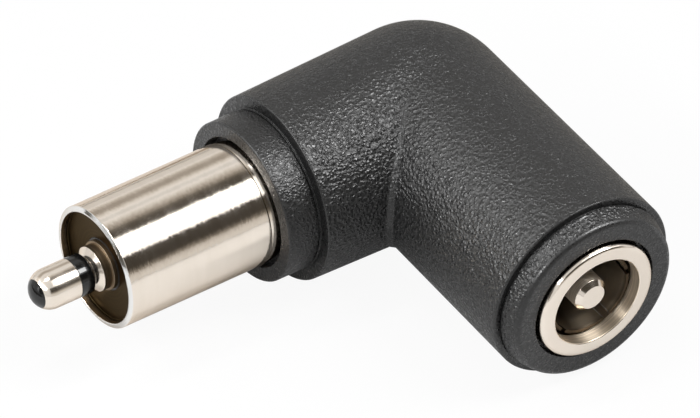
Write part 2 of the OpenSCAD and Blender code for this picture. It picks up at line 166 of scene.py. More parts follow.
softbox(
    "left_strip", (-0.77, 0.21, 0.60), distance=273, size=(460, 34), radiance=25.0, along=(0.0, 1.0, 0.0)
)
softbox("top_box", (-0.14, 0.15, 0.97), distance=320, size=(190, 40), radiance=16.0)
softbox("key_box", (0.44, -0.39, 0.81), distance=240, size=(138, 86), radiance=16.0)

# %% [markdown]
# ## Shader nodes in short
# Every finish below is a tree of shader nodes. Each could be put together by hand in the shader editor.
# Here a few helpers make the nodes and join them, so that a finish reads as a short list of steps.

# %% Making and joining nodes


def link(tree, *pairs):
    """Joins sockets two by two."""
    for source, target in pairs:
        tree.links.new(source, target)


def fill(tree, made, inputs):
    """Gives each input of a node its value, or a link where the value is a socket."""
    for key, value in inputs.items():
        if isinstance(value, bpy.types.NodeSocket):
            link(tree, (value, made.inputs[key]))
        else:
            made.inputs[key].default_value = value


def node(tree, kind, inputs=None, **settings):
    """A shader node with its settings and its inputs."""
    made = tree.nodes.new("ShaderNode" + kind)
    for key, value in settings.items():
        setattr(made, key, value)
    fill(tree, made, inputs or {})
    return made


def show(tree, shader, end="OutputMaterial"):
    """Sends a shader to the end of its tree."""
    link(tree, (shader.outputs[0], node(tree, end).inputs["Surface"]))


def blank(name):
    """A material whose tree is empty, and that tree."""
    material = bpy.data.materials.new(name)
    material.use_nodes = True
    material.node_tree.nodes.clear()
    return material, material.node_tree


print("helpers for trees: link, fill, node, show, blank")

# %% Values in a tree


def ramp(tree, value, low, high, to_low=0.0, to_high=1.0):
    """A smooth step of a value: to_low below low, to_high above high."""
    inputs = {0: value, 1: low, 2: high, 3: to_low, 4: to_high}
    return node(tree, "MapRange", inputs, interpolation_type="SMOOTHSTEP").outputs[0]


def maths(tree, operation, a, b):
    """One sum of two values."""
    return node(tree, "Math", {0: a, 1: b}, operation=operation).outputs[0]


def own(tree, name):
    """A value kept on the piece's own points."""
    return node(tree, "Attribute", attribute_name=name).outputs["Fac"]


def shades(tree, share, dark, light):
    """A colour between two colours, each a triple or a socket."""
    ends = [c if isinstance(c, bpy.types.NodeSocket) else (*c, 1) for c in (dark, light)]
    mix = node(tree, "Mix", {0: share, "A": ends[0], "B": ends[1]}, data_type="RGBA")
    return mix.outputs["Result"]


print("helpers for values: ramp, maths, own, shades")

# %% [markdown]
# ## Walls and cards
# Polished metal shows the studio itself, so the bands on the barrel say what stood round it: white walls,
# and darker cards in front, above, behind and on the left. A photographer sets up such cards to give
# bright metal its dark lines. Real boards would also shade the part. So here the world is the white wall,
# and the cards are sheets that glow by themselves and that only reflections see. Two more lie on the
# table, because edges that turn away from the viewer mirror the table behind them.

# %% White walls
WALL_LIGHT = 0.15


def mirrored(tree, path):
    """1 for a ray from a glossy or clear surface, else 0."""
    return maths(tree, "MAXIMUM", path["Is Glossy Ray"], path["Is Transmission Ray"])


world = bpy.data.worlds.new("studio")
bpy.context.scene.world = world
world.use_nodes = True
walls = world.node_tree
walls.nodes.clear()
wall_path = node(walls, "LightPath").outputs
wall_seen = maths(walls, "MAXIMUM", wall_path["Is Camera Ray"], mirrored(walls, wall_path))
wall_strength = node(walls, "MapRange", {0: wall_seen, 3: WALL_LIGHT, 4: 1.0}).outputs[0]
show(walls, node(walls, "Background", {"Strength": wall_strength}), "OutputWorld")
print("walls: light", WALL_LIGHT)

# %% Cards
SHEET_DISTANCE = 260.0
SHEET_ROWS, SHEET_COLUMNS = 40, 24
CARD_LIFT = 0.05
CARD_TINT, WHITE = (1.0, 0.88, 0.72), (1.0, 1.0, 1.0)


def quads(index):
    """Faces of a grid of point numbers: the four corners of each of its squares, in turn."""
    corners = [index[:-1, :-1], index[:-1, 1:], index[1:, 1:], index[1:, :-1]]
    return np.stack(corners, -1).reshape(-1, 4).tolist()


def keep(mesh, name, values):
    """Keeps a value on each point of a mesh, where its material can read it."""
    attribute = mesh.attributes.new(name, "FLOAT", "POINT")
    attribute.data.foreach_set("value", np.ravel(values).astype(np.float32))


def glowing(name, points, faces, levels):
    """A surface that glows by a level kept on its points, in mm. The darker it is, the warmer its tint.

    Only reflections see it."""
    mesh = bpy.data.meshes.new(name)
    mesh.from_pydata((points * MM).tolist(), [], faces)
    keep(mesh, "glow", levels)
    material, tree = blank(name)
    glow = own(tree, "glow")
    tint = shades(tree, glow, CARD_TINT, WHITE)
    show(tree, node(tree, "Emission", {"Color": tint, "Strength": glow}))
    mesh.materials.append(material)
    obj = put(name, mesh)
    obj.visible_camera = obj.visible_shadow = obj.visible_diffuse = False
    return obj


def sheet(name, heights, sides, levels):
    """A curved sheet round the part, between two height angles and two side angles, in degrees.

    Height runs from 0 in front over 90 overhead to 180 behind, and side is 0 in the middle and turns to
    the right: direction = (sin side, -cos height * cos side, sin height * cos side). levels are its
    brightness at even steps of height, where 1 is plain white."""
    height = np.radians(np.linspace(*heights, SHEET_ROWS))[:, None]
    side = np.radians(np.linspace(*sides, SHEET_COLUMNS))[None]
    parts = np.sin(side), -np.cos(height) * np.cos(side), np.sin(height) * np.cos(side)
    points = crossing + SHEET_DISTANCE * np.stack(np.broadcast_arrays(*parts), -1)
    index = np.arange(SHEET_ROWS * SHEET_COLUMNS).reshape(SHEET_ROWS, SHEET_COLUMNS)
    level = np.interp(np.linspace(0, 1, SHEET_ROWS), np.linspace(0, 1, len(levels)), levels)
    return glowing(name, points.reshape(-1, 3), quads(index), np.repeat(level, SHEET_COLUMNS))


def floor_card(name, corners, level):
    """A flat card on the table, given by the corners of its outline in mm."""
    points = np.column_stack([np.array(corners), np.full(len(corners), CARD_LIFT)])
    return glowing(name, points, [list(range(len(corners)))], np.full(len(corners), level))


cards = [
    sheet("key_sheet", (45.4, 80), (-4, 62), [1.5, 1.5]),
    sheet("front_card", (-1, 45.2), (-30, 60), [0.8, 0.75, 0.66, 0.2] + 5 * [0.06]),
    sheet("top_card", (80.2, 118), (-4, 60), [0.07, 0.08, 0.12, 0.42, 0.75, 1.0]),
    sheet("back_card", (126, 162), (-60, 60), [1.0, 0.8, 0.42, 0.42, 0.65, 1.0]),
    sheet("left_card", (8, 130), (-84, -66), 7 * [0.1] + [3.0, 5.0]),
    floor_card("left_floor_card", [(-140, -15), (-42, -15), (-42, 70), (-140, 70)], 0.12),
    floor_card("right_card", [(16.3, -8), (70, -8), (70, 70), (9, 70), (9, 12), (16.3, 12)], 0.45),
]
print("cards:", [card.name for card in cards])

# %% [markdown]
# ## The table
# A white sheet, wide enough that its edge never shows. Paper under a lamp never looks quite white, so to
# the camera it is mostly plain white, and it keeps a part of the shadow, so that the adapter doesn't
# float. In the metal it keeps more of it, which darkens the underside.

# %% Floor
FLOOR_HALF = 1500.0
PAPER_GREY = 0.52
SHADOW_SHARE, MIRRORED_SHADOW_SHARE = 0.07, 0.9


def floor_material():
    """White paper: a matt sheet for the light, mixed with plain white for camera and reflections."""
    material, tree = blank("paper")
    matt = node(tree, "BsdfDiffuse", {"Color": (PAPER_GREY, PAPER_GREY, PAPER_GREY, 1)})
    white = node(tree, "Emission", {"Strength": 1.0})
    path = node(tree, "LightPath").outputs
    shown = maths(tree, "MULTIPLY", path["Is Camera Ray"], 1 - SHADOW_SHARE)
    glossed = maths(tree, "MULTIPLY", mirrored(tree, path), 1 - MIRRORED_SHADOW_SHARE)
    share = maths(tree, "MAXIMUM", shown, glossed)
    show(tree, node(tree, "MixShader", {0: share, 1: matt.outputs[0], 2: white.outputs[0]}))
    return material


corner = np.array([[-1, -1], [1, -1], [1, 1], [-1, 1]]) * FLOOR_HALF * MM
floor_mesh = bpy.data.meshes.new("floor")
floor_mesh.from_pydata(np.column_stack([corner, np.zeros(4)]).tolist(), [], [[0, 1, 2, 3]])
floor_mesh.materials.append(floor_material())
floor = put("floor", floor_mesh)
print("floor:", 2 * FLOOR_HALF, "mm wide")

# %% [markdown]
# ## Profiles and skins
# A lathe part is a profile carried round an axis. Blender's Screw modifier can do that, but a grid of
# numbers also says where on the profile each point lies. The profile is a list of corners, each with its
# own rounding, because no real edge is sharp and the thin bright line along a rounded edge is what makes
# it look made. One function rounds the corners, one carries the profile round, and one makes the mesh.

# %% Profile with rounded corners
ARC_STEPS = 6
FINE = 0.012
GUARD = 0.015
ROUND_SHARE, GUARD_SHARE = 0.45, 0.48


def unit(rows):
    """Each row divided by its length."""
    return rows / np.linalg.norm(rows, axis=1)[:, None]


def rounded(corners, closed=True):
    """Profile through corners of (u, radius, rounding).

    A rounded corner starts and ends at rounding / tan(half angle) from the point, but takes less than
    half of a side, and its points lie on the circle that touches both sides. A guard point just outside
    each end keeps the flats flat when the skin is shaded smooth."""
    corners = np.array(corners, float)
    point, size = corners[:, :2], np.maximum(corners[:, 2], FINE)
    before, after = np.roll(point, 1, 0) - point, np.roll(point, -1, 0) - point
    near = np.minimum(np.linalg.norm(before, axis=1), np.linalg.norm(after, axis=1))
    before, after = unit(before), unit(after)
    half = np.arccos(np.clip((before * after).sum(1), -1, 1)) / 2
    start = np.minimum(size / np.tan(half), ROUND_SHARE * near)
    centre = point + unit(before + after) * (start * np.tan(half) / np.sin(half))[:, None]
    swing = (math.pi - 2 * half)[:, None, None]
    share = np.linspace(0, 1, ARC_STEPS + 1)[None, :, None]
    first = (point + before * start[:, None] - centre)[:, None]
    last = (point + after * start[:, None] - centre)[:, None]
    arc = (np.sin((1 - share) * swing) * first + np.sin(share * swing) * last) / np.sin(swing)
    guard = np.minimum(start + GUARD, GUARD_SHARE * near)[:, None]
    guards = (point + before * guard)[:, None], (point + after * guard)[:, None]
    rows = np.concatenate([guards[0], centre[:, None] + arc, guards[1]], 1)
    if closed:
        return rows.reshape(-1, 2)
    return np.concatenate([point[:1], rows[1:-1].reshape(-1, 2), point[-1:]])


print("points for each rounded corner:", ARC_STEPS + 3)

# %% Turned grids
SEGMENTS = 192


def carry(centres, sides, radii):
    """Rings carried along a path: centre + radius * (cos t * side + sin t * up), for one turn of t."""
    t = np.linspace(0, 2 * math.pi, SEGMENTS, endpoint=False)
    ring = np.cos(t)[None, :, None] * sides[:, None] + np.sin(t)[None, :, None] * UP
    return centres[:, None] + np.broadcast_to(radii, (len(centres), SEGMENTS))[..., None] * ring


def on_arm(profile, arm):
    """A profile of (u, radius) carried round an arm's axis."""
    centres = crossing + profile[:, :1] * arm["axis"]
    return carry(centres, np.broadcast_to(arm["side"], centres.shape), profile[:, 1:])


def lengths(profile):
    """How far each profile point lies along the profile, in mm."""
    return np.concatenate([[0], np.cumsum(np.linalg.norm(np.diff(profile, axis=0), axis=1))])


print("points round an axis:", SEGMENTS)

# %% Skins and pieces
SAME_POINT = 1e-8
SHARP_ANGLE = math.radians(40)


def skin(name, grid, closed, **kept):
    """A mesh of a grid whose columns join up. Rows join up too where closed, and rows of no radius become
    a pole.

    kept are values of each row or point, for the material."""
    rows, columns = grid.shape[:2]
    index = np.arange(rows * columns).reshape(rows, columns)
    index = np.concatenate([index, index[:, :1]], 1)
    if closed:
        index = np.concatenate([index, index[:1]])
    mesh = bpy.data.meshes.new(name)
    mesh.from_pydata((grid.reshape(-1, 3) * MM).tolist(), [], quads(index))
    for key, values in kept.items():
        keep(mesh, key, np.broadcast_to(np.asarray(values, float).reshape(rows, -1), (rows, columns)))
    work = bmesh.new()
    work.from_mesh(mesh)
    bmesh.ops.remove_doubles(work, verts=work.verts, dist=SAME_POINT)
    bmesh.ops.recalc_face_normals(work, faces=work.faces)
    work.to_mesh(mesh)
    work.free()
    mesh.polygons.foreach_set("use_smooth", np.ones(len(mesh.polygons), bool))
    mesh.set_sharp_from_angle(angle=SHARP_ANGLE)
    return mesh


def piece(name, mesh, material, slot, *nodes):
    """A piece of the part: it rides on the one body, stands for its CAD nodes and takes its material."""
    mesh.materials.append(material)
    obj = put(name, mesh)
    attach(obj, "root")
    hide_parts(*nodes)
    print(name, "triangles:", sum(len(p.vertices) - 2 for p in mesh.polygons))


def turned_piece(name, profile, arm, material, slot, *nodes, closed=True, **kept):
    """A lathe piece: its profile carried round the arm. The length along the profile is kept."""
    mesh = skin(name, on_arm(profile, arm), closed, profile=lengths(profile), **kept)
    piece(name, mesh, material, slot, *nodes)


print("helpers for pieces: skin, piece, turned_piece")

# %% [markdown]
# ## Grain of the moulding
# The elbow came out of a spark-eroded mould, which leaves a fine leather-like grain. A picture of leather
# would stretch over the bend, and true dents would need millions of faces, so a pattern of the place
# itself bends the light. Cells of a distorted Voronoi pattern give its pebbles, and a finer noise breaks
# them up. All the plastics use it, so it is a node group.

# %% Grain group
BEND_SCALE, BEND_SIZE = 3000.0, 0.0003
PEBBLE_SMOOTH = 0.2
FINER_TIMES, FINER_SHARE = 2.2, 0.3
MOTTLE_SCALE = 700.0
NOISE_MIDDLE = 0.5


def group(name, inputs, outputs):
    """An empty shader node group with its input sockets and float outputs, and the sockets inside it."""
    tree = bpy.data.node_groups.new(name, "ShaderNodeTree")
    for title, kind in inputs.items():
        tree.interface.new_socket(title, in_out="INPUT", socket_type="NodeSocket" + kind)
    for title in outputs:
        tree.interface.new_socket(title, in_out="OUTPUT", socket_type="NodeSocketFloat")
    return tree, tree.nodes.new("NodeGroupInput").outputs, tree.nodes.new("NodeGroupOutput").inputs


def noise(tree, scale, detail, roughness=0.5, **spot):
    """Smooth noise at a Vector, or along a length W."""
    inputs = {"Scale": scale, "Detail": detail, "Roughness": roughness, **spot}
    return node(tree, "TexNoise", inputs, noise_dimensions="1D" if "W" in spot else "3D").outputs


def vectors(tree, operation, a, b):
    """One sum of two vectors, or a vector scaled by a value."""
    inputs = {0: a, "Scale" if operation == "SCALE" else 1: b}
    return node(tree, "VectorMath", inputs, operation=operation).outputs[0]


grain, given, result = group("moulded_grain", {"Vector": "Vector", "Pebble": "Float"}, ["Height", "Mottle"])
bend = noise(grain, BEND_SCALE, 1.0, Vector=given["Vector"])["Color"]
shift = vectors(grain, "SCALE", vectors(grain, "SUBTRACT", bend, 3 * (NOISE_MIDDLE,)), BEND_SIZE)
bent = vectors(grain, "ADD", given["Vector"], shift)
cells = {"Vector": bent, "Scale": given["Pebble"], "Smoothness": PEBBLE_SMOOTH}
pebble = node(grain, "TexVoronoi", cells, feature="SMOOTH_F1").outputs["Distance"]
finer = noise(grain, maths(grain, "MULTIPLY", given["Pebble"], FINER_TIMES), 0.0, Vector=bent)["Fac"]
rise = maths(grain, "SUBTRACT", 1.0, pebble)
rise = maths(grain, "ADD", rise, maths(grain, "MULTIPLY", finer, FINER_SHARE))
mottle = noise(grain, MOTTLE_SCALE, 3.0, Vector=given["Vector"])["Fac"]
link(grain, (rise, result["Height"]), (mottle, result["Mottle"]))
print("group:", grain.name)

# %% Parts of a finish


def placed(tree, source, **inputs):
    """A group placed in a material, with its own values."""
    made = tree.nodes.new("ShaderNodeGroup")
    made.node_tree = source
    fill(tree, made, inputs)
    return made.outputs


def principled(name, **values):
    """A material with one Principled shader and its constant values. _ in a name stands for a space."""
    material, tree = blank(name)
    shader = node(tree, "BsdfPrincipled", {key.replace("_", " "): value for key, value in values.items()})
    show(tree, shader)
    return material, tree, shader.inputs


def coordinates(tree):
    """Object coordinates, in metres."""
    return node(tree, "TexCoord").outputs["Object"]


def bumped(tree, height, depth):
    """Normals bent by a height, which is depth metres where it is 1."""
    return node(tree, "Bump", {"Height": height, "Distance": depth, "Strength": 1.0}).outputs[0]


def coat(tree, shader, colour, roughness, normal):
    """Links colour, roughness and normals to the shader."""
    link(tree, (colour, shader["Base Color"]), (roughness, shader["Roughness"]), (normal, shader["Normal"]))


print("helpers for finishes: placed, principled, coordinates, bumped, coat")

# %% Moulding material
PEBBLE = 4800.0
GRAIN_DEPTH = 0.000066
RIDGE = (0.5, 1.0)
VALLEY_ROUGH, RIDGE_ROUGH = 0.44, 0.18
# The grain's pits are painted blacker than its tops: a painted shade in the pits.
VALLEY_BLACK, RIDGE_BLACK = (0.0025, 0.0025, 0.0025), (0.009, 0.009, 0.0093)


def moulding():
    """Black moulding: grain as bump. How deep and how fine it is, is kept on the piece's points."""
    material, tree, shader = principled("moulding", Specular_IOR_Level=0.55)
    pebble_scale = maths(tree, "MULTIPLY", own(tree, "fine"), PEBBLE)
    height = placed(tree, grain, Vector=coordinates(tree), Pebble=pebble_scale)["Height"]
    normal = bumped(tree, maths(tree, "MULTIPLY", height, own(tree, "grain")), GRAIN_DEPTH)
    colour = shades(tree, ramp(tree, height, *RIDGE), VALLEY_BLACK, RIDGE_BLACK)
    coat(tree, shader, colour, ramp(tree, height, *RIDGE, VALLEY_ROUGH, RIDGE_ROUGH), normal)
    return material


black_moulding = moulding()
print("material:", black_moulding.name)

# %% [markdown]
# ## The elbow
# The two arms are cones that hardly taper, with a ball where they meet and a narrow softened crease inside
# the bend. Joined solids would leave torn faces along the crease. Instead one skin is drawn over all of
# it: rays run out from a centre line, in planes that fan round the inside of the bend, and each stops
# where the distance to the nearer arm is zero. The same rows go on as profiles to the collar and the nose,
# then back through the hollow that holds the metal, so the piece closes.

# %% Sizes of the elbow
EDGE, NOSE_ROUND, FIT = 0.1, 0.35, 0.01
# From the boxes and the mounts.
ball_r = float(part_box("elbow_body")[1][1] / MM - crossing[1])
jack_end_r = girth("elbow_body", {"side": UP})
collar_face = reach("elbow_body", PLUG)[1]
nose_face = reach("elbow_body", JACK)[1]
barrel_r = mounts["plug_barrel"]["dims"]["r_mm"]
shell_r = girth("jack_shell", JACK)
plug_back, rim = reach("plug_barrel", PLUG)
jack_back, ring_face = reach("jack_shell", JACK)
flange_r = girth("plug_barrel", PLUG)
# Not in the boxes, so given as they are in the part's source.
collar_len, collar_mouth_depth, collar_gap, collar_wall, collar_step = 2.15, 0.8, 0.25, 0.88, 0.76
groove_w, groove_depth = 0.1, 0.12
nose_len, nose_gap, nose_gap_depth, nose_face_w, nose_slope = 1.3, 0.18, 0.7, 1.25, 0.3
shut_w, shut_depth = 0.14, 0.1
barrel_step_in, spigot_step, spigot_len, flange_t = 0.22, 0.3, 0.6, 0.9
key_depth, key_w, key_setback = 0.3, 0.7, 4.4
lead_bend, lead_r = 2.8, 0.72
# Worked out from both.
plug_end, jack_end = collar_face - collar_len, nose_face - nose_len
mouth_r = barrel_r + collar_gap
collar_r = mouth_r + collar_wall
plug_end_r = collar_r + collar_step
nose_gap_r = shell_r + nose_gap
nose_r = nose_gap_r + nose_face_w
nose_root_r = nose_r + nose_slope
tail_r = barrel_r - barrel_step_in
barrel_spigot_r, shell_spigot_r = barrel_r - spigot_step, shell_r - spigot_step
flange_u = plug_back + spigot_len
flange_end = flange_u + flange_t
shell_u = jack_back + spigot_len
key_front = ring_face - key_setback
key_back = key_front - key_w
key_r = shell_r - key_depth
print("elbow radius", round(ball_r, 3), "arms end at", round(plug_end, 2), round(jack_end, 2))

# %% Distance to the arms
CREASE_SOFT = 0.015
crease_w = 0.45
plug_corner_r = ball_r + (plug_end_r - ball_r) * ball_r / plug_end
jack_corner_r = ball_r + (jack_end_r - ball_r) * ball_r / jack_end
crease_reach = (plug_corner_r + jack_corner_r) / math.sqrt(2) + crease_w / 2


def arm_distance(along, across, height, end, end_r):
    """Distance to one arm with its round end: to a cone in front of the crossing, to a ball behind it."""
    radius = ball_r + (end_r - ball_r) * np.maximum(along, 0) / end
    return np.sqrt(across**2 + height**2 + np.minimum(along, 0) ** 2) - radius


def arms_distance(point):
    """Distance to the nearer of the two arms."""
    x, y, z = np.moveaxis(point, -1, 0)
    plug = arm_distance(-x, y, z, plug_end, plug_end_r)
    return np.minimum(plug, arm_distance(-y, x, z, jack_end, jack_end_r))


def strip_distance(point):
    """Distance to the strip in the crease: a half ellipse in the plane between the arms, which reaches a
    little further into the bend than they do."""
    x, y, z = np.moveaxis(point, -1, 0)
    strip = ball_r * (np.hypot((x + y) / math.sqrt(2) / crease_reach, z / ball_r) - 1)
    strip = np.maximum(strip, np.abs(x - y) / math.sqrt(2) - crease_w)
    return np.where(x + y < 0, strip, ball_r)


def soft_least(a, b, size):
    """The smaller of two distances, rounded over a size where they are nearly equal."""
    both = np.maximum(size - np.abs(a - b), 0) / size
    return np.minimum(a, b) - size * both**2 / 4


print("crease reaches", round(crease_reach, 2), "mm from the crossing")

# %% Rays over the bend
FAN, FAN_ROWS = 6.8, 112
FAN_BULGE = 0.2
CREASE_POWER = 1.7
HALVINGS = 40


def fan(turn):
    """Level directions at angles that turn from the plug's side to the socket's."""
    return np.column_stack([np.sin(turn), np.cos(turn), np.zeros_like(turn)])


def bend_rows():
    """Rings over the bend: in each plane of the fan, halving finds how far each ray runs before it leaves
    the elbow.

    The planes stand closer near the crease, by a power of their distance from it."""
    spread = np.linspace(-1, 1, FAN_ROWS)[1:-1]
    turn = math.pi / 4 * (1 + np.sign(spread) * np.abs(spread) ** CREASE_POWER)
    sides = fan(turn)
    centres = np.array([-FAN, -FAN, 0]) + (FAN * (1 + FAN_BULGE * np.sin(2 * turn)))[:, None] * sides
    inside, outside = np.zeros((len(turn), SEGMENTS)), np.full((len(turn), SEGMENTS), 4 * ball_r)
    for _ in range(HALVINGS):
        middle = (inside + outside) / 2
        point = carry(centres, sides, middle)
        out = soft_least(arms_distance(point), strip_distance(point), CREASE_SOFT) > 0
        inside, outside = np.where(out, inside, middle), np.where(out, middle, outside)
    return carry(crossing + centres, sides, inside)


bend_grid = bend_rows()
print("rows over the bend:", len(bend_grid))

# %% Profiles of the elbow
FLAT_STEP = 0.4
LEAD_ROWS = 14
mouth_u = collar_face - collar_mouth_depth
gap_u = nose_face - nose_gap_depth
plug_hollow = [
    (plug_back - FIT, lead_r, 0), (plug_back - FIT, barrel_spigot_r + FIT, 0),
    (flange_u - FIT, barrel_spigot_r + FIT, 0), (flange_u - FIT, flange_r + FIT, 0),
    (flange_end + FIT, flange_r + FIT, 0), (flange_end + FIT, tail_r + FIT, 0),
]
collar = [
    (mouth_u, tail_r + FIT, 0), (mouth_u, mouth_r, 0.03),
    (collar_face, mouth_r, 0.03), (collar_face, collar_r, EDGE),
    (plug_end + 2 * groove_w, collar_r, 0.02), (plug_end + 2 * groove_w, collar_r - groove_depth, 0.02),
    (plug_end + groove_w, collar_r - groove_depth, 0.02), (plug_end + groove_w, collar_r, 0.02),
    (plug_end, collar_r, 0.02), (plug_end, plug_end_r, EDGE),
    (FAN, ball_r + (plug_end_r - ball_r) * FAN / plug_end, 0),
]
nose = [
    (FAN, ball_r + (jack_end_r - ball_r) * FAN / jack_end, 0), (jack_end, jack_end_r, EDGE),
    (jack_end, nose_root_r - shut_depth, 0.03), (jack_end + shut_w, nose_root_r - shut_depth, 0.03),
    (jack_end + shut_w, nose_root_r, 0.03), (nose_face, nose_r, NOSE_ROUND),
    (nose_face, nose_gap_r, 0.05), (gap_u, nose_gap_r, 0.03), (gap_u, shell_r + FIT, 0),
]
jack_hollow = [
    (key_front, shell_r + FIT, 0), (key_front, key_r + FIT, 0),
    (key_back, key_r + FIT, 0), (key_back, shell_r + FIT, 0),
    (shell_u - FIT, shell_r + FIT, 0), (shell_u - FIT, shell_spigot_r + FIT, 0),
    (jack_back - FIT, shell_spigot_r + FIT, 0), (jack_back - FIT, lead_r, 0),
]


def finely(profile):
    """The same profile with points no further apart than a step, so that long flats carry the pattern
    evenly."""
    along = lengths(profile)
    even = np.linspace(0, along[-1], int(along[-1] / FLAT_STEP))
    along_all = np.unique(np.concatenate([along, even]))
    return np.column_stack([np.interp(along_all, along, profile[:, k]) for k in (0, 1)])


def lead_rows():
    """The passage of the leads: a ring carried round a quarter turn about the inside of the bend."""
    sides = fan(np.linspace(math.pi / 2, 0, LEAD_ROWS))
    centres = crossing - np.array([lead_bend, lead_bend, 0]) + lead_bend * sides
    return carry(centres, sides, lead_r)


plug_rows = finely(rounded(plug_hollow + collar, closed=False))
jack_rows = finely(rounded(nose + jack_hollow, closed=False))
print("rows on the plug's arm:", len(plug_rows), "and on the socket's:", len(jack_rows))

# %% Depth of the grain
COLLAR_GRAIN, NOSE_GRAIN, EDGE_GRAIN, FLAT_GRAIN = 0.5, 1.2, 0.08, 0.3
EDGE_STEEP, FLAT_STEEP = 0.25, 0.8
PAST_END, PAST_MOUTH = 0.02, 0.05
CREASE_GRAIN, CREASE_SPREAD, STRIP_GRAIN = 0.3, 1.6, -0.3


def grain_depth(profile, end, mouth, before):
    """How deep the grain is on each row: full on the arm, another depth on what stands before its end,
    faint on edges, and shallow on flats and inside the mouth.

    Steepness is the share of a step along the profile that goes across the axis: 0 on a cylinder and 1 on
    a flat."""
    along, across = np.abs(np.gradient(profile[:, 0])), np.abs(np.gradient(profile[:, 1]))
    steepness = across / (along + across)
    depth = np.where(profile[:, 0] > end + PAST_END, before, 1.0)
    depth = np.where(steepness > EDGE_STEEP, EDGE_GRAIN, depth)
    depth = np.where((profile[:, 1] < mouth + PAST_MOUTH) | (steepness > FLAT_STEEP), FLAT_GRAIN, depth)
    return np.repeat(depth[:, None], SEGMENTS, 1)


def crease_grain(grid):
    """Grain over the bend: full, deeper on a bell curve of the distance from the crease's plane, and
    shallower on the strip."""
    point = grid - crossing
    away = (point[..., 0] - point[..., 1]) / math.sqrt(2)
    near = CREASE_GRAIN * np.exp(-((away / CREASE_SPREAD) ** 2))
    near = np.where(point[..., 0] + point[..., 1] < 0, near, 0)
    on_strip = strip_distance(point) < arms_distance(point) - CREASE_SOFT
    return 1 + np.where(on_strip, STRIP_GRAIN, near)


depths = np.concatenate([
    grain_depth(plug_rows, plug_end, mouth_r, COLLAR_GRAIN), crease_grain(bend_grid),
    grain_depth(jack_rows, jack_end, nose_gap_r, NOSE_GRAIN), np.zeros((LEAD_ROWS, SEGMENTS)),
])
print("grain from", depths.min(), "to", round(depths.max(), 2), "of its full depth")

# %% Skin of the elbow
COLLAR_FINER = 1.45
elbow_grid = np.concatenate([on_arm(plug_rows, PLUG), bend_grid, on_arm(jack_rows, JACK), lead_rows()])
fineness = np.ones(len(elbow_grid))
fineness[: len(plug_rows)] = np.where(plug_rows[:, 0] > plug_end, COLLAR_FINER, 1.0)
elbow_skin = skin("elbow", elbow_grid, True, grain=depths, fine=fineness)
piece("elbow", elbow_skin, black_moulding, "moulding", "elbow_body")

# %% [markdown]
# ## Turned nickel
# Every bright part was turned on a lathe and plated. Close up it carries fine rings from the tool, and the
# plating is a little uneven, which frays the edges of the reflected cards. Plain smooth metal would look
# like a mirror ball. The rings follow the profile, so each turned piece keeps how far a point lies along
# its profile, and the pattern reads that.

# %% Turning marks group
RING_SCALE, STREAK_SCALE, STAIN_SCALE = 22.0, 9.0, 0.07
marks, given, result = group(
    "turning_marks", {"Vector": "Vector", "Profile": "Float", "Rings": "Float", "Fray": "Float"},
    ["Height", "Tilt", "Shade", "Streak"],
)
ring_noise = noise(marks, RING_SCALE, 3.0, 0.7, W=given["Profile"])["Fac"]
fray_noise = noise(marks, 1.0, 2.0, 0.6, Vector=given["Vector"])["Fac"]
stain = noise(marks, STAIN_SCALE, 4.0, Vector=given["Vector"])["Fac"]
streak = noise(marks, STREAK_SCALE, 2.0, 0.7, W=given["Profile"])["Fac"]
rise = maths(marks, "MULTIPLY", ring_noise, given["Rings"])
rise = maths(marks, "ADD", rise, maths(marks, "MULTIPLY", fray_noise, given["Fray"]))
tilt = maths(marks, "SUBTRACT", fray_noise, NOISE_MIDDLE)
link(marks, (rise, result["Height"]), (tilt, result["Tilt"]))
link(marks, (stain, result["Shade"]), (streak, result["Streak"]))
print("group:", marks.name)

# %% Nickel material
NICKEL_DARK, NICKEL_LIGHT = (0.76, 0.68, 0.59), (0.86, 0.785, 0.70)
# Marked edges are painted this plain silver: a painted highlight on the contact's slit cuts, and a painted
# cool sheen on the barrel's bevel.
SILVER_EDGE = (0.80, 0.80, 0.79)
GRAZING_TINT = (0.8, 0.72, 0.64, 1)
FRAY_ACROSS, FRAY_AROUND = 22000.0, 3800.0
MARK_DEPTH = 0.00001
ACROSS_RINGS = 0.25
STAINED, STREAKED, STREAK_DARK = (0.3, 0.7), (0.35, 0.65), 0.7
EVENLY = {"axis": np.zeros(3)}


def turned_normal(tree, arm, pattern, sway):
    """Normals of turned metal: bent by its marks and its crown, then swayed round the arm's axis.

    normal = bump + tilt * sway * (axis x bump), divided by its length."""
    height = maths(tree, "MULTIPLY", pattern["Height"], MARK_DEPTH)
    bump = bumped(tree, maths(tree, "ADD", height, own(tree, "crown")), 1.0)
    around = vectors(tree, "CROSS_PRODUCT", tuple(arm["axis"]), bump)
    lean = vectors(tree, "SCALE", around, maths(tree, "MULTIPLY", pattern["Tilt"], sway))
    return node(tree, "VectorMath", {0: vectors(tree, "ADD", bump, lean)}, operation="NORMALIZE").outputs[0]


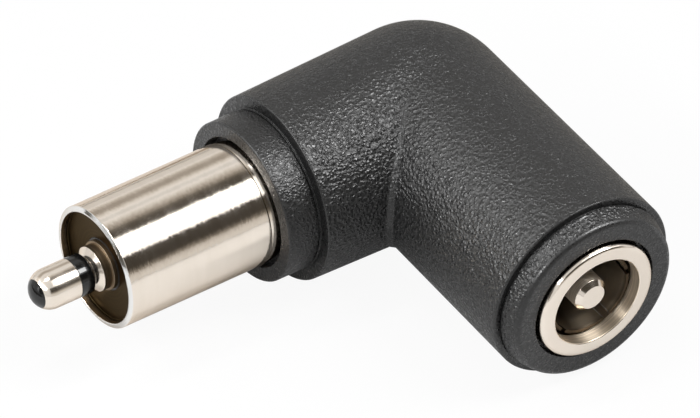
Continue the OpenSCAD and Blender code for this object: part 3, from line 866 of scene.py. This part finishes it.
def nickel(
    name, arm, rings, fray=0.1, sway=0.0, smooth=0.08, rough=0.13, dark=NICKEL_DARK, light=NICKEL_LIGHT,
    recess=None, dull=0.2, brushed=0.0,
):
    """Plated turned metal: ring marks and frayed plating as bump, with a slight change of shade.

    The fraying is short along the arm's axis and long around it; EVENLY has no axis, for metal that isn't
    turned. recess is the colour of the part that the piece marks, streaked along the profile, and dull is how
    much rougher it is there. In a mouth or bore that colour is a painted shade. A marked edge is painted
    plain silver, which on the slits of a contact is a painted highlight. A piece may also keep a slight
    crown, in metres. brushed spreads the shine across the rings, as turning does."""
    material, tree, shader = principled(
        name, Metallic=1.0, Specular_Tint=GRAZING_TINT, Anisotropic=brushed, Anisotropic_Rotation=ACROSS_RINGS
    )
    if brushed:
        ring = node(tree, "Tangent", direction_type="RADIAL", axis="XYZ"[np.argmax(np.abs(arm["axis"]))])
        link(tree, (ring.outputs[0], shader["Tangent"]))
    scale = FRAY_AROUND + (FRAY_ACROSS - FRAY_AROUND) * np.abs(arm["axis"])
    spot = node(tree, "Mapping", {"Vector": coordinates(tree), "Scale": tuple(scale)}).outputs[0]
    pattern = placed(tree, marks, Vector=spot, Profile=own(tree, "profile"), Rings=rings, Fray=fray)
    colour = shades(tree, own(tree, "worn"), shades(tree, pattern["Shade"], dark, light), SILVER_EDGE)
    roughness = ramp(tree, pattern["Shade"], *STAINED, smooth, rough)
    if recess:
        deep = own(tree, "recess")
        streaks = ramp(tree, pattern["Streak"], *STREAKED)
        colour = shades(tree, deep, colour, shades(tree, streaks, STREAK_DARK * np.array(recess), recess))
        roughness = maths(tree, "ADD", roughness, maths(tree, "MULTIPLY", deep, dull))
    coat(tree, shader, colour, roughness, turned_normal(tree, arm, pattern, sway))
    return material


# The barrel's recess colour, a near-black brown, is a painted shade in its mouth and in the groove of its
# shoulder line.
barrel_nickel = nickel("barrel_nickel", PLUG, rings=0.04, sway=0.12, recess=(0.035, 0.024, 0.011))
# The pin's recess colour, a mid brown, is a painted shade and a painted reflection of the dark mouth on the
# boss.
pin_nickel = nickel(
    "pin_nickel", PLUG, rings=0.05, sway=0.03, smooth=0.16, rough=0.2, recess=(0.30, 0.235, 0.165)
)
# The socket ring's recess colour, a streaked brown, is a painted shade on the wall of its bore.
ring_nickel = nickel(
    "ring_nickel", JACK, rings=0.1, sway=0.1, recess=(0.68, 0.58, 0.455), dull=0.33, brushed=0.85
)
socket_nickel = nickel("socket_nickel", JACK, rings=0.1, recess=(0.88, 0.79, 0.67), dull=0.4, brushed=0.7)
# The contact's own colours are a dark brown nickel: a painted shade deep in the socket. Its recess colour,
# darker still, is a painted shade on the leaf tips.
contact_nickel = nickel(
    "contact_nickel", JACK, rings=0.4, fray=0.3, smooth=0.3, rough=0.42, dark=(0.29, 0.235, 0.17),
    light=(0.42, 0.345, 0.255), recess=(0.10, 0.075, 0.05), dull=0.1, brushed=0.85,
)
print("nickel finishes:", [m.name for m in bpy.data.materials if "nickel" in m.name])

# %% [markdown]
# ## Plug barrel
# A turned tube with a closed front: a shoulder line near the collar, a bevelled rim, and a shallow mouth
# with a dished floor. On both sides of the line its surface is slightly crowned. That hardly shows as
# shape, but it bends the reflections, so it is kept as a height that only the shading reads.

# %% Barrel profile
setout, back_ring_len, back_ring_in, line = 0.45, 0.8, 0.1, 0.06
rim_wall, rim_flat, bevel_len, mouth_depth = 0.34, 0.1, 0.12, 0.5
dish_depth, floor_t, wall = 0.12, 1.3, 0.8
boss_r, boss_flange_w, boss_flange_t, hole_gap = 1.35, 0.15, 0.27, 0.1
shoulder = collar_face + setout
floor_u = rim - mouth_depth
dish_u = floor_u - dish_depth
boss_flange_r = boss_r + boss_flange_w
hole_r = boss_flange_r + hole_gap
lip_r = barrel_r - rim_wall
barrel_profile = rounded([
    (plug_back, barrel_r - wall, 0), (plug_back, barrel_spigot_r, 0),
    (flange_u, barrel_spigot_r, 0), (flange_u, flange_r, 0.05),
    (flange_end, flange_r, 0.05), (flange_end, tail_r, 0),
    (shoulder - back_ring_len, tail_r, 0), (shoulder - back_ring_len, barrel_r - back_ring_in, 0.05),
    (shoulder - line, barrel_r - line / 2, 0.02), (shoulder, barrel_r - line, 0), (shoulder, barrel_r, 0.02),
    (rim - bevel_len, barrel_r, 0.06), (rim, lip_r + rim_flat, 0.04), (rim, lip_r, 0.05),
    (floor_u, lip_r, 0.06), (dish_u, hole_r, 0.02),
    (dish_u - floor_t, hole_r, 0), (dish_u - floor_t, barrel_r - wall, 0),
])
print("barrel from", round(plug_back, 2), "to", round(rim, 2))

# %% Barrel
HAIR = 0.005
MOUTH_BEHIND, MOUTH_SETBACK = 0.3, 0.06
CROWN, RING_CROWN = np.tan(np.radians([10, 14]))
CROWN_LEN = 2.2
u, r = barrel_profile.T
# The mouth and the shoulder line are marked for that painted shade.
in_mouth = (u > dish_u - MOUTH_BEHIND) & (u < rim - MOUTH_SETBACK) & (r < lip_r + HAIR)
in_line = (np.abs(u - shoulder + line / 2) < line / 2 + HAIR) & (r < barrel_r - 2 * HAIR)
# The bevel of the rim is marked to be painted plain silver, a painted cool sheen.
on_bevel = (u > rim - bevel_len + 2 * HAIR) & (r > lip_r + 4 * HAIR)
past = np.clip((u - shoulder) / CROWN_LEN, None, 1)
crown = MM * CROWN_LEN * np.where(past > 0, CROWN * (1 - past) ** 2 / 2, CROWN / 2 - RING_CROWN * past)
turned_piece(
    "barrel", barrel_profile, PLUG, barrel_nickel, "barrel_nickel", "plug_barrel",
    recess=in_mouth | in_line, worn=on_bevel, crown=crown,
)

# %% [markdown]
# ## Centre pin
# From the floor outwards: the outer contact with its boss, flare and neck, a glossy black ring, the bullet
# tip, and a black bead in its nose. The two contacts are apart electrically, which is what the black ring
# is for. Each is a profile of its own, so that metal and plastic meet in a clean line.

# %% Pin profiles
DOME_POINTS = 28
tip_r = mounts["pin_tip"]["dims"]["r_mm"]
ring_back = reach("pin_sleeve", PLUG)[1]
tip_back = reach("pin_insulator", PLUG)[1]
stem_end, bead_u = reach("pin_tip", PLUG)
bead_back, apex = reach("tip_bead", PLUG)
ball_u = apex - tip_r
neck_r, neck_len, flare_len, sleeve_r = 0.92, 0.22, 0.32, 1.2
tube_r, stem_r, bead_spigot_r = 0.61, 0.4, 0.45
neck_u = ring_back - neck_len
flare_u = neck_u - flare_len


def dome(start, end):
    """Profile of the tip's nose: points of a circle about its ball's middle, between two places on the
    axis."""
    first, last = np.arccos(np.clip((np.array([start, end]) - ball_u) / tip_r, -1, 1))
    angle = np.linspace(first, last, DOME_POINTS)
    return np.column_stack([ball_u + tip_r * np.cos(angle), tip_r * np.sin(angle)])


sleeve_profile = rounded([
    (plug_back, tube_r + FIT, 0), (plug_back, sleeve_r, 0), (dish_u, sleeve_r, 0),
    (dish_u, boss_flange_r, 0.03), (dish_u + boss_flange_t, boss_flange_r, 0.04),
    (dish_u + boss_flange_t, boss_r, 0.02), (flare_u, boss_r, 0.02), (neck_u, neck_r, 0.02),
    (ring_back, neck_r, 0), (ring_back, tube_r + FIT, 0),
])
insulator_profile = rounded([
    (plug_back, stem_r + FIT, 0), (plug_back, tube_r, 0), (ring_back, tube_r, 0), (ring_back, tip_r, 0.05),
    (tip_back, tip_r, 0.04), (tip_back, stem_r + FIT, 0),
])
stem_profile = rounded([
    (stem_end, 0, 0), (stem_end, stem_r, 0.03), (tip_back, stem_r, 0), (tip_back, tip_r, 0.04),
    (ball_u, tip_r, 0),
], closed=False)
bead_seat = [(bead_u, bead_spigot_r + FIT), (bead_back, bead_spigot_r + FIT), (bead_back, 0.0)]
tip_profile = np.concatenate([stem_profile[:-1], dome(ball_u, bead_u), bead_seat])
bead_spigot = [(bead_back, 0.0), (bead_back, bead_spigot_r), (bead_u, bead_spigot_r)]
bead_profile = np.concatenate([bead_spigot, dome(bead_u, apex)])
print("pin ends at", round(apex, 2))

# %% Black plastics
PLASTIC_PEBBLE = 5200.0
MOTTLED, MOTTLE_ROUGH = (0.35, 0.65), 0.06


def plastic(name, dark, light, roughness, depth=0.000003):
    """Plain moulded plastic: the same grain, fine and shallow."""
    material, tree, shader = principled(name)
    pattern = placed(tree, grain, Vector=coordinates(tree), Pebble=PLASTIC_PEBBLE)
    colour = shades(tree, pattern["Mottle"], dark, light)
    gloss = ramp(tree, pattern["Mottle"], *MOTTLED, roughness, roughness + MOTTLE_ROUGH)
    coat(tree, shader, colour, gloss, bumped(tree, pattern["Height"], depth))
    return material


gloss_black = plastic("gloss_black", 3 * (0.003,), 3 * (0.006,), 0.1, depth=0.0000005)
plain_black = plastic("plain_black", 3 * (0.012,), 3 * (0.022,), 0.4)
print("plastics:", gloss_black.name, plain_black.name)

# %% Pin
# The boss and its flange, deep in the mouth, are marked for that painted shade.
in_boss = sleeve_profile[:, 0] < flare_u - 2 * HAIR
turned_piece("pin_contact", sleeve_profile, PLUG, pin_nickel, "pin_nickel", "pin_sleeve", recess=in_boss)
turned_piece("pin_ring", insulator_profile, PLUG, gloss_black, "gloss_black", "pin_insulator")
turned_piece("pin_bullet", tip_profile, PLUG, pin_nickel, "pin_nickel", "pin_tip", closed=False)
turned_piece("pin_bead", bead_profile, PLUG, gloss_black, "gloss_black", "tip_bead", closed=False)

# %% [markdown]
# ## Socket
# A bright ring with a rounded edge fronts a turned shell. Inside it, a rolled contact is slit into leaves
# that lean in to grip a plug, round a centre pin with a chamfered end. Cutting slits with booleans would
# leave ragged faces, so the contact is a tube whose length depends on the angle.

# %% Shell and pin
ring_w, ring_round, bore_break, lip_len = 0.95, 0.3, 0.06, 0.9
foot_r, foot_t, jack_tail_r, chamfer = girth("jack_pin", JACK), 0.6, 0.5, 0.28
jack_pin_r = mounts["jack_pin"]["dims"]["r_mm"]
bore_r = shell_r - ring_w
tail_end, pin_end = reach("jack_pin", JACK)
jack_floor = reach("jack_insulator", JACK)[1]
contact_r = girth("jack_contact", JACK)
shell_profile = rounded([
    (jack_back, contact_r + FIT, 0), (jack_back, shell_spigot_r, 0),
    (shell_u, shell_spigot_r, 0), (shell_u, shell_r, 0),
    (key_back, shell_r, 0), (key_back, key_r, 0), (key_front, key_r, 0), (key_front, shell_r, 0),
    (ring_face, shell_r, ring_round), (ring_face, bore_r + bore_break, 0.03),
    (ring_face - bore_break, bore_r, 0.03), (ring_face - lip_len, bore_r, 0.03),
    (ring_face - lip_len, contact_r + FIT, 0),
])
jack_pin_profile = rounded([
    (tail_end, 0, 0), (tail_end, jack_tail_r, 0.03),
    (jack_floor - foot_t, jack_tail_r, 0), (jack_floor - foot_t, foot_r, 0),
    (jack_floor, foot_r, 0), (jack_floor, jack_pin_r, 0),
    (pin_end - chamfer, jack_pin_r, 0.04), (pin_end, jack_pin_r - chamfer, 0.04), (pin_end, 0, 0),
], closed=False)
# The bore's wall is marked for that painted shade.
in_bore = shell_profile[:, 1] < bore_r + 4 * HAIR
on_shaft = jack_pin_profile[:, 0] < pin_end - chamfer - 6 * HAIR
turned_piece("socket_ring", shell_profile, JACK, ring_nickel, "ring_nickel", "jack_shell", recess=in_bore)
turned_piece(
    "socket_pin", jack_pin_profile, JACK, socket_nickel, "pin_nickel", "jack_pin", closed=False,
    recess=on_shaft,
)

# %% Leaves of the contact
leaf_count, leaf_pinch, leaf_len, contact_wall = 5, 0.42, 3.2, 0.2
slit_w, slit_len, slit_turn = 0.5, 4.0, -61.0
SLIT_COLUMNS, LEAF_COLUMNS, SIDE_ROWS = 6, 40, 30
CUT_TURN = 1e-4
CONTACT_RUN = 17


def contact_grid():
    """A rolled tube whose length depends on the angle: full on a leaf, short in a slit. Also returned is
    which points lie on the cut sides of a slit.

    A profile runs up the outside and down the inside; beyond the bend of a leaf both lean in evenly."""
    contact_floor, tip = reach("jack_contact", JACK)
    slit_half = slit_w / 2 / contact_r
    pitch = 2 * math.pi / leaf_count
    slit = np.linspace(-slit_half, slit_half, SLIT_COLUMNS)
    leaf = np.linspace(slit_half + CUT_TURN, pitch - slit_half - CUT_TURN, LEAF_COLUMNS)
    starts = np.arange(leaf_count)[:, None] * pitch
    turn = math.radians(slit_turn) + (starts + np.concatenate([slit, leaf])).ravel()
    column = np.arange(SLIT_COLUMNS + LEAF_COLUMNS)
    top = np.tile(np.where(column < SLIT_COLUMNS, tip - slit_len, tip), leaf_count)
    share = np.concatenate([np.linspace(0, 1, SIDE_ROWS), np.linspace(1, 0, SIDE_ROWS)])
    along = contact_floor + share[:, None] * (top - contact_floor)
    lean = leaf_pinch * np.clip((along - (tip - leaf_len)) / leaf_len, 0, 1)
    radius = np.repeat([contact_r, contact_r - contact_wall], SIDE_ROWS)[:, None] - lean
    spoke = np.cos(turn)[:, None] * JACK["side"] + np.sin(turn)[:, None] * UP
    beside = np.isin(column, [0, SLIT_COLUMNS - 1, SLIT_COLUMNS, column[-1]])
    cut = np.tile(beside, leaf_count) & (along > tip - slit_len - 2 * HAIR)
    return crossing + along[..., None] * JACK["axis"] + radius[..., None] * spoke, cut


leaves, on_cut = contact_grid()
run = np.linspace(0, CONTACT_RUN, 2 * SIDE_ROWS)
# The leaf tips are marked for the contact's recess colour: a painted shade that dims their end faces.
at_tip = np.isin(np.arange(2 * SIDE_ROWS), [SIDE_ROWS - 1, SIDE_ROWS])
# The cut sides of the slits are marked to be painted plain silver on the dark contact: a painted highlight.
leaves_skin = skin("socket_leaves", leaves, True, profile=run, recess=at_tip, worn=on_cut)
piece("socket_leaves", leaves_skin, contact_nickel, "contact_nickel", "jack_contact")

# %% [markdown]
# ## What the moulding hides
# Bushes, lugs, leads and solder joints are shut in, and their plain solids are right as they are. They
# still get true finishes, because someone may cut the model open.

# %% Finishes inside
lug_nickel = nickel("lug_nickel", EVENLY, rings=0.0, fray=0.6)
solder = nickel(
    "solder", EVENLY, rings=0.0, smooth=0.3, rough=0.45, dark=(0.52, 0.53, 0.55), light=(0.66, 0.67, 0.69)
)
copper = nickel(
    "copper", EVENLY, rings=0.0, fray=0.8, smooth=0.25, rough=0.4, dark=(0.62, 0.32, 0.17),
    light=(0.76, 0.43, 0.26),
)
red_jacket = plastic("red_jacket", (0.36, 0.02, 0.02), (0.45, 0.035, 0.03), 0.35)
black_jacket = plastic("black_jacket", 3 * (0.014,), 3 * (0.024,), 0.35)
inside = {
    "plug_insulator": plain_black, "jack_insulator": plain_black,
    "barrel_lug": lug_nickel, "jack_lug": lug_nickel,
    "live_core": copper, "return_core": copper,
    "live_jacket": red_jacket, "return_jacket": black_jacket,
    "pin_tip_solder": solder, "jack_pin_solder": solder,
    "barrel_lug_solder": solder, "jack_lug_solder": solder,
}
for name, finish in inside.items():
    solid = frame["nodes"][name]
    solid.data.materials.clear()
    solid.data.materials.append(finish)
print("finishes inside:", len(inside))

# %% [markdown]
# ## Finish
# Colours render as they are written under the Standard view.

# %% Finish
bpy.context.scene.view_settings.view_transform = "Standard"
